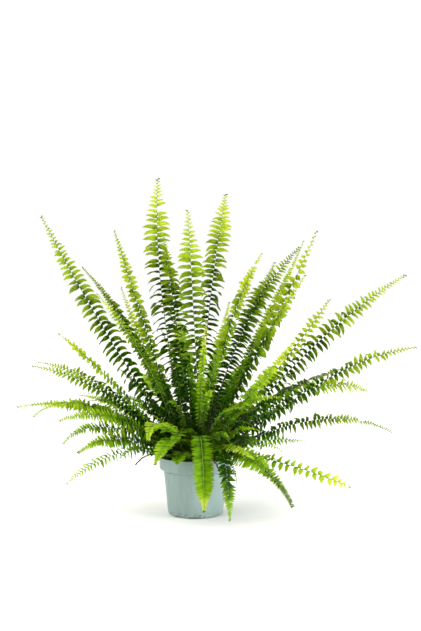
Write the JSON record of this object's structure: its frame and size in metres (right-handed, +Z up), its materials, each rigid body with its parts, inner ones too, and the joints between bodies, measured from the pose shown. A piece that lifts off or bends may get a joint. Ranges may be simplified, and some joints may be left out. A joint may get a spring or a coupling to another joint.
{
  "type": "potted fern",
  "caption": "Sword fern with arching, feather-shaped fronds, growing from dark peat in a tapered plastic nursery pot with a banded rim.",
  "frame": {"origin": "middle of the pot's foot, on the surface that the pot stands on", "axes": "+Z up along the pot's axis, +X to the right of the pictured front, +Y away from the viewer of that front"},
  "size_m": [0.6534, 0.4705, 0.556],
  "materials": {
    "pot_plastic": "satin",
    "peat": "matte",
    "fern_leaf": "satin",
    "dry_stalk": "matte"
  },
  "bodies": {
    "root": {"pot": "pot_plastic", "soil": "peat", "frond_tall_1": "fern_leaf", "frond_tall_2": "fern_leaf", "frond_tall_3": "fern_leaf", "frond_tall_4": "fern_leaf", "frond_left_1": "fern_leaf", "frond_left_2": "fern_leaf", "frond_left_3": "fern_leaf", "frond_left_4": "fern_leaf", "frond_left_5": "fern_leaf", "frond_left_6": "fern_leaf", "frond_left_7": "fern_leaf", "frond_left_8": "fern_leaf", "frond_left_9": "fern_leaf", "frond_left_10": "fern_leaf", "frond_left_11": "fern_leaf", "frond_left_12": "fern_leaf", "frond_left_13": "fern_leaf", "frond_left_14": "fern_leaf", "frond_left_15": "fern_leaf", "frond_front_1": "fern_leaf", "frond_front_2": "fern_leaf", "frond_front_3": "fern_leaf", "frond_front_4": "fern_leaf", "frond_front_5": "fern_leaf", "frond_front_6": "fern_leaf", "frond_front_7": "fern_leaf", "frond_front_8": "fern_leaf", "frond_front_9": "fern_leaf", "frond_front_10": "fern_leaf", "frond_front_11": "fern_leaf", "frond_right_1": "fern_leaf", "frond_right_2": "fern_leaf", "frond_right_3": "fern_leaf", "frond_right_4": "fern_leaf", "frond_right_5": "fern_leaf", "frond_right_6": "fern_leaf", "frond_right_7": "fern_leaf", "frond_right_8": "fern_leaf", "frond_right_9": "fern_leaf", "frond_right_10": "fern_leaf", "frond_right_11": "fern_leaf", "frond_right_12": "fern_leaf", "frond_right_13": "fern_leaf", "frond_right_14": "fern_leaf", "frond_right_15": "fern_leaf", "frond_right_16": "fern_leaf", "frond_right_17": "fern_leaf", "frond_back_1": "fern_leaf", "frond_back_2": "fern_leaf", "frond_back_3": "fern_leaf", "frond_back_4": "fern_leaf", "frond_back_5": "fern_leaf", "frond_back_6": "fern_leaf", "frond_back_7": "fern_leaf", "frond_back_8": "fern_leaf", "dead_stalk_left": "dry_stalk", "dead_stalk_front": "dry_stalk"}
  },
  "joints": []
}
